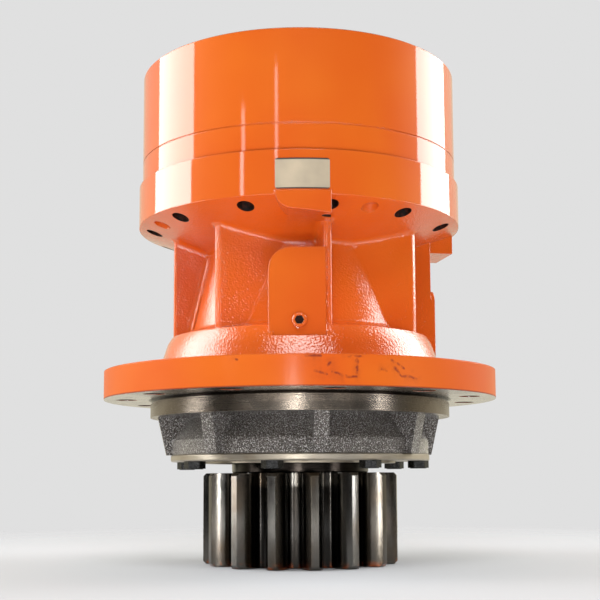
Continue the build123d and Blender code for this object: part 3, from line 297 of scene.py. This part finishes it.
def flange_scuffs_and_shade(f):
    """1 on the scuffs, with broken, smeared edges, and nearly 1 on the flange's lower chamfer, which is
    darkened as painted shade.
    """
    nearest = from_scuffs(f)
    core = f.product(f.step(nearest, 0.0017, 0.0003), f.step(f.noise(240, 4), 0.34, 0.62))
    smear = f.product(f.step(nearest, 0.009, 0.0005), f.step(f.noise(110, 4), 0.46, 0.80))
    side = f.above(f.radius, FLANGE_RADIUS - SKIN, 0.0004)
    scuffs = f.product(f.total(core, (smear, 0.45)), side)
    # Painted shade: the flange's lower chamfer, which faces down, is darkened with the scuffs' colour
    chamfer = f.product(f.below(f.z, 0.0013, 0.0003), f.above(f.radius, FLANGE_RADIUS - 0.0015, 0.0003))
    return f.largest(scuffs, f.product(chamfer, 0.8))


def housing_paint(f):
    """Wet, thick enamel on the casting's grain, and duller, worn enamel on the flange's turned edge, with
    painted shade on its lower chamfer.
    """
    # Turned or milled under the paint: rim, flange edge, front pad and the lug under the plate
    rim = f.product(f.above(f.z, RIM_BOTTOM, 0.0004), f.above(f.radius, RIM_RADIUS - SKIN, 0.0004))
    flange = f.product(f.below(f.z, FLANGE_TOP, 0.0004), f.above(f.radius, FLANGE_RADIUS - SKIN, 0.0004))
    from_pad = f.math("ABSOLUTE", f.math("SUBTRACT", f.ahead, PAD_FACE))
    pad = f.product(f.below(from_pad, 0.00045, 0.00025), f.above(f.z, PAD_BOTTOM, 0.0005),
                    f.below(f.z, PAD_TOP, 0.0003))
    lug = f.product(f.above(f.radius, RIM_RADIUS, 0.0002), f.above(f.z, LUG_BOTTOM, 0.0005))
    cast = f.math("SUBTRACT", 1.0, f.largest(rim, flange, pad, lug))
    # Ridge of the mould's parting line, down the front rib and the collar, and behind
    off_parting = f.total(0.0, (f.x, cos(PARTING)), (f.y, sin(PARTING)))
    ridge = f.product(f.below(f.math("ABSOLUTE", off_parting), 0.0006, 0.0003), cast,
                      f.step(f.noise(200, 3), 0.25, 0.55))
    glossy = paint_shader(f, cast, ridge=ridge, coat_ior=1.75)
    # The flange's edge: real scuffs, and painted shade on its lower chamfer
    worn = paint_shader(f, 0.06, flange_scuffs_and_shade(f), gloss=0.3, coat_roughness=0.18, edge=0.002)
    return f.mix_shaders(flange, glossy, worn)


def housing_metal(f):
    """Bare below the flange: turned on its face and the spigot, painted shade in the corner between them, and
    cast on the nose. The face is lighter at the sides as a painted reflection.
    """
    face = f.above(f.radius, SPIGOT_RADIUS + 0.001, 0.0005)
    # Painted reflection: the face's steel is lighter towards the sides, where it would mirror the bright
    # backdrop
    side_sheen = f.step(f.math("ABSOLUTE", f.heading), 0.55, 1.1)
    # Painted shade: a near-black ring in the corner where the spigot meets the flange
    corner_shade = f.product(f.above(f.z, -0.0026, 0.0004), f.below(f.radius, SPIGOT_RADIUS + 0.002, 0.001))
    # Colours of the spigot, the face in front, the face at the sides, lighter as a painted reflection, and
    # the oil, which is near-black painted shade in the corner
    clean = rgb(0.25, 0.215, 0.18), rgb(0.22, 0.185, 0.155), rgb(0.66, 0.64, 0.62), rgb(0.012, 0.009, 0.007)
    stained = rgb(0.19, 0.155, 0.12), rgb(0.13, 0.10, 0.08), rgb(0.50, 0.48, 0.45), rgb(0.008, 0.006, 0.004)
    steel = [f.mix(corner_shade, f.mix(face, spigot, f.mix(side_sheen, front, side)), oil)
             for spigot, front, side, oil in (clean, stained)]
    turned = turned_shader(f, *steel, 0.25, 1600.0, 0.15)
    machined = f.product(f.above(f.z, SPIGOT_BOTTOM - 0.00025, 0.00015),
                         f.above(f.radius, SPIGOT_INNER, 0.00075))
    return f.mix_shaders(machined, cast_shader(f), turned)


def housing_finish():
    f = Finish("housing")
    inside = f.product(f.below(f.radius, RIM_RADIUS - 0.00245, 0.00025),
                       f.above(f.z, JOINT - 0.00025, 0.00015))
    paint_edge = f.math("ADD", f.z, f.waver(0.0004, 300, 3))
    painted = f.product(f.above(paint_edge, 0.000225, 0.000075), f.math("SUBTRACT", 1.0, inside))
    skin = f.mix_shaders(painted, housing_metal(f), housing_paint(f))
    # Holes: unpainted inside and darkened to near black as painted shade, with a little rust tone, where the
    # ring gear's bolts come through and in the mounting flange
    in_rim_hole = f.below(f.from_holes(RIM_BOLT_CIRCLE, 4, 11, 41, 71), RIM_HOLE, 0.0001)
    in_flange_hole = f.below(f.from_holes(FLANGE_BOLT_CIRCLE, 12, 10), FLANGE_HOLE, 0.0001)
    holes = f.largest(
        f.product(in_rim_hole, f.above(f.z, RIM_HOLE_MOUTH, 0.0005)),
        f.product(in_flange_hole, f.below(f.z, FLANGE_TOP - 0.00125, 0.00025),
                  f.above(f.z, 0.00045, 0.00015)),
    )
    # The oil colour here is near-black painted shade inside the holes, with a dark rust tone mixed in
    oil, rust = rgb(0.008, 0.004, 0.003), rgb(0.045, 0.010, 0.005)
    painted_shade = f.surface(
        Base_Color=f.mix(f.step(f.noise(300, 3), 0.45, 0.65), oil, rust), Specular_IOR_Level=0.2,
        Roughness=f.total(0.3, (f.noise(300, 2), 0.4)), Normal=f.bump(f.noise(500, 3), 0.0006),
    )
    return f.finish(f.mix_shaders(holes, skin, painted_shade))


def drum_finish():
    """Painted outside, bare on the seat for the motor and on the ring gear's teeth."""
    f = Finish("drum")
    bare = turned_shader(f, rgb(0.50, 0.49, 0.47), rgb(0.30, 0.26, 0.20))
    outside = f.product(f.above(f.radius, RING_RECESS + 0.0035, 0.0005),
                        f.below(f.z, RING_TOP - 0.00025, 0.00015))
    return f.finish(f.mix_shaders(outside, bare, paint_shader(f, 0.0)))


def plug_finish():
    """Painted over, with painted shade, near black, in the socket and round the seat."""
    f = Finish("plug")
    off_axis = f.vector_length(f.point(f.x, f.math("SUBTRACT", f.z, PLUG_HEIGHT)))
    # Painted shade: the socket and the edge of the seat are darkened to near black
    socket = f.below(off_axis, PLUG_SOCKET, 0.0003)
    seat = f.below(f.ahead, PAD_FACE + 0.0004, 0.0002)
    painted_shade = f.surface(
        Base_Color=f.mix(f.noise(500, 2), rgb(0.04, 0.010, 0.005), rgb(0.006, 0.003, 0.003)), Roughness=0.5,
        Normal=f.bump(f.noise(600, 2), 0.0004), Specular_IOR_Level=0.2,
    )
    return f.finish(f.mix_shaders(f.largest(socket, seat), paint_shader(f, 0.15), painted_shade))


def turned_finish(name, color, dark, roughness, anisotropic=0.6):
    f = Finish(name)
    return f.finish(turned_shader(f, color, dark, roughness, anisotropic=anisotropic))


def gear_finish():
    """Cut and hardened gear steel: hobbing marks along the teeth, brown oil, painted shade in the roots of
    the teeth and a little rust low down.
    """
    f = Finish("gear_steel")
    streaks = f.noise(60, 3, (1, 1, 0.06))
    patches = f.noise(22, 4)
    marks = f.noise(520, 3, (1, 1, 0.25))
    color = f.mix(f.step(streaks, 0.35, 0.65), rgb(0.135, 0.13, 0.12), rgb(0.065, 0.052, 0.036))
    color = f.mix(f.step(patches, 0.50, 0.75), color, rgb(0.085, 0.060, 0.038))
    # Painted shade: the roots of the pinion's teeth are darkened to near black, low down
    wavy_radius = f.math("ADD", f.radius, f.waver(0.006, 150, 3, (1, 1, 0.2)))
    root_shade = f.product(f.below(wavy_radius, PINION_ROOT, 0.005), f.below(f.z, ROOT_SHADE_TOP, 0.002))
    color = f.mix(root_shade, color, rgb(0.010, 0.008, 0.006))
    rust = f.product(f.below(f.z, PINION_BOTTOM + 0.004, 0.003), f.step(f.noise(90, 4), 0.46, 0.60))
    color = f.mix(rust, color, rgb(0.33, 0.085, 0.025))
    return f.finish(f.surface(
        Base_Color=color, Metallic=1.0, Roughness=f.total(0.03, (patches, 0.22), (marks, 0.12)),
        Normal=f.bump(marks, 0.00015, 0.3, f.soft_edges(0.0008)), Coat_Weight=0.35, Coat_Roughness=0.12,
    ))


def bolt_finish():
    """Blackened bolts with worn edges."""
    f = Finish("black_bolts")
    wear = f.step(f.noise(160, 4), 0.55, 0.75)
    return f.finish(f.surface(
        Base_Color=f.mix(wear, rgb(0.003, 0.0035, 0.0035), rgb(0.02, 0.019, 0.018)), Metallic=0.0,
        Roughness=f.total(0.10, (f.noise(220, 3), 0.3)), Specular_IOR_Level=0.25,
        Normal=f.bump(f.noise(700, 3), 0.0005, 0.8, f.soft_edges(0.0006)),
    ))


def carrier_finish():
    f = Finish("carrier_iron")
    return f.finish(cast_shader(f))


def rubber_finish():
    f = Finish("black_rubber")
    return f.finish(f.surface(
        Base_Color=f.mix(f.noise(60, 3), rgb(0.012, 0.012, 0.013), rgb(0.03, 0.029, 0.028)),
        Roughness=f.total(0.4, (f.noise(200, 3), 0.2)), Normal=f.bump(f.noise(900, 2), 0.0001, 0.6),
    ))


def bronze_finish():
    f = Finish("bronze_washers")
    return f.finish(f.surface(
        Base_Color=f.mix(f.noise(70, 4), rgb(0.52, 0.31, 0.12), rgb(0.40, 0.22, 0.08)), Metallic=1.0,
        Roughness=f.total(0.2, (f.noise(300, 3), 0.2)), Normal=f.bump(f.noise(1200, 2), 0.0001, 0.5),
    ))


def plate_finish():
    """Bare plate of brushed, slightly yellowed metal, darker along the long edges."""
    f = Finish("bare_plate")
    brushed = f.noise(900, 3, (1, 1, 0.04))
    metal = f.mix(f.step(f.noise(30, 3), 0.3, 0.75), rgb(0.52, 0.43, 0.31), rgb(0.37, 0.31, 0.23))
    dark_edges = f.largest(f.above(f.z, PLATE_TOP, 0.0003), f.below(f.z, PLATE_BOTTOM, 0.0003))
    return f.finish(f.surface(
        Base_Color=f.mix(dark_edges, metal, rgb(0.05, 0.035, 0.03)), Metallic=0.25,
        Roughness=f.total(0.38, (brushed, 0.2)), Normal=f.bump(brushed, 0.0001, 0.5, f.soft_edges(0.0003)),
    ))


by_slot = {
    "bearing_steel": turned_finish("bearing_steel", rgb(0.60, 0.60, 0.60), rgb(0.42, 0.40, 0.37), 0.22),
    "ground_steel": turned_finish("ground_steel", rgb(0.62, 0.61, 0.60), rgb(0.35, 0.32, 0.28), 0.22),
    "machined_steel": turned_finish("machined_steel", rgb(0.30, 0.285, 0.27), rgb(0.16, 0.14, 0.11), 0.28),
    "gear_steel": gear_finish(), "black_bolt_steel": bolt_finish(), "bronze_washer": bronze_finish(),
    "black_rubber": rubber_finish(),
}
by_node = {
    "gear_housing": housing_finish(), "ring_gear": drum_finish(), "level_plug": plug_finish(),
    "data_plate": plate_finish(), "second_carrier": carrier_finish(),
    # Painted shade: the sleeve under the retainer gets a near-black colour, far darker than its turned steel
    "seal_sleeve": turned_finish(
        "shaded_sleeve", rgb(0.024, 0.020, 0.017), rgb(0.012, 0.009, 0.007), 0.20, 0.2),
    "seal_retainer": turned_finish(
        "retainer_steel", rgb(0.47, 0.42, 0.345), rgb(0.33, 0.28, 0.21), 0.40, 0.3),
}
slot_of = {piece["node"]: piece["material_slot"] for piece in frame["record"]["subparts"]}
for name, piece in nodes.items():
    finish = by_node.get(name) or by_slot[slot_of[name]]
    if not piece.material_slots:
        piece.data.materials.append(finish)
    for slot in piece.material_slots:
        slot.material = finish

# Round faces shade as round: the mesh's corners are joined first, and sharp corners stay sharp
for piece in nodes.values():
    weld = piece.modifiers.new("weld", "WELD")
    weld.merge_threshold = 1e-6
    split = piece.modifiers.new("edges", "EDGE_SPLIT")
    split.split_angle = radians(26)
    for face in piece.data.polygons:
        face.use_smooth = True

# Pale floor, which fades into the backdrop
FLOOR_REACH = 4
corners = [(x * FLOOR_REACH, y * FLOOR_REACH, FLOOR) for x, y in ((-1, -1), (1, -1), (1, 1), (-1, 1))]
floor_mesh = bpy.data.meshes.new("floor")
floor_mesh.from_pydata(corners, [], [(0, 1, 2, 3)])
floor = bpy.data.objects.new("floor", floor_mesh)
bpy.context.scene.collection.objects.link(floor)
f = Finish("floor")
speck = f.product(f.noise(60, 3), 0.02)
pale = f.surface(Base_Color=f.mix(speck, rgb(0.595, 0.61, 0.65), rgb(0.565, 0.58, 0.62)), Roughness=0.85)
clear = f.add("ShaderNodeBsdfTransparent").outputs[0]
floor_mesh.materials.append(f.finish(f.mix_shaders(f.step(f.radius, 0.24, 0.9), pale, clear)))

# Backdrop: pale to the camera. What the object mirrors is dark in front of it, as the studio is
world = bpy.data.worlds.new("studio")
world.use_nodes = True
bpy.context.scene.world = world
studio = Nodes(world.node_tree)
way = studio.add("ShaderNodeSeparateXYZ", studio.add("ShaderNodeTexCoord").outputs["Generated"])
room = studio.add("ShaderNodeBackground", Color=rgb(1.0, 0.93, 0.72),
                  Strength=studio.step(way.outputs["Y"], -0.35, 0.55, 0.01, 0.72))
backdrop = studio.add("ShaderNodeBackground", Color=rgb(0.745, 0.745, 0.745))
seen = studio.add("ShaderNodeLightPath").outputs["Is Camera Ray"]
pick = studio.add("ShaderNodeMixShader", seen, room.outputs[0], backdrop.outputs[0])
studio.add("ShaderNodeOutputWorld", Surface=pick.outputs[0])


def soft_light(name, place, target, size, power, color=(1, 1, 1), mirrored=True):
    """Rectangular soft box that faces the target. Glossy surfaces mirror it, unless it only fills."""
    data = bpy.data.lights.new(name, "AREA")
    data.shape = "RECTANGLE"
    data.size, data.size_y = size
    data.energy = power
    data.color = color
    light = bpy.data.objects.new(name, data)
    light.location = place
    light.rotation_euler = (Vector(target) - Vector(place)).to_track_quat("-Z", "Y").to_euler()
    light.visible_camera = False
    light.visible_glossy = mirrored
    bpy.context.scene.collection.objects.link(light)


# Fills, which light the paint from the sides and aren't mirrored
WARM = (1, 0.97, 0.80)
soft_light("left_fill", (-1.7, -0.9, 0.5), (0, 0, 0.12), (0.8, 1.4), 9.0, WARM, mirrored=False)
soft_light("right_fill", (1.7, -0.9, 0.5), (0, 0, 0.12), (0.8, 1.4), 6.0, WARM, mirrored=False)
# Boxes that the drum, the rim and the casting mirror as bands, and the light from above
soft_light("left_box", (-1.6, 0.20, 1.1), (0, 0.20, 1.1), (1.19, 1.4), 37)
soft_light("right_box", (1.6, 0.66, 1.1), (0, 0.66, 1.1), (1.33, 1.4), 43)
soft_light("key_above", (0.0, -1.9, 2.0), (0, 0, 0.1), (1.4, 1.0), 32)
# Low lights and cards for the bare steel, one of them on the floor, which lights it from below
soft_light("front_low", (-0.16, -2.6, -0.05), (0, 0, 0.0), (0.16, 0.5), 10)
soft_light("floor_card", (0.0, -0.8, FLOOR + 0.004), (0, -0.8, 1.0), (1.2, 0.5), 10)
soft_light("left_card", (-1.6, -0.28, -0.09), (0, 0, -0.09), (0.45, 0.15), 2.6)
soft_light("right_card", (1.35, -0.80, -0.09), (0, 0, -0.09), (0.25, 0.15), 2.0)
# Narrow strips, which the drum mirrors as fine lines
soft_light("strip_a", (-1.35, -1.75, 0.6), (0, 0, 0.2), (0.09, 0.7), 0.9)
soft_light("strip_b", (-0.55, -2.1, 0.8), (0, 0, 0.2), (0.07, 0.5), 0.5)

# Camera below the flange, looking slightly up, as in the photo. All of it is solved from the photo's ellipses
CAMERA_PLACE = (0, -1.2049, -0.0798)
PITCH = radians(96)
LEAN = radians(0.298)
eye = bpy.data.cameras.new("camera")
eye.sensor_width = 36
eye.lens = 66.95
eye.shift_x = 0.0007
eye.shift_y = 0.097
camera = bpy.data.objects.new("camera", eye)
turned_up = Matrix.Rotation(PITCH, 4, "X") @ Matrix.Rotation(LEAN, 4, (0, 0, -1))
camera.matrix_world = Matrix.Translation(CAMERA_PLACE) @ turned_up
bpy.context.scene.collection.objects.link(camera)
bpy.context.scene.camera = camera

view = bpy.context.scene.view_settings
view.view_transform = "Standard"
view.look = "None"
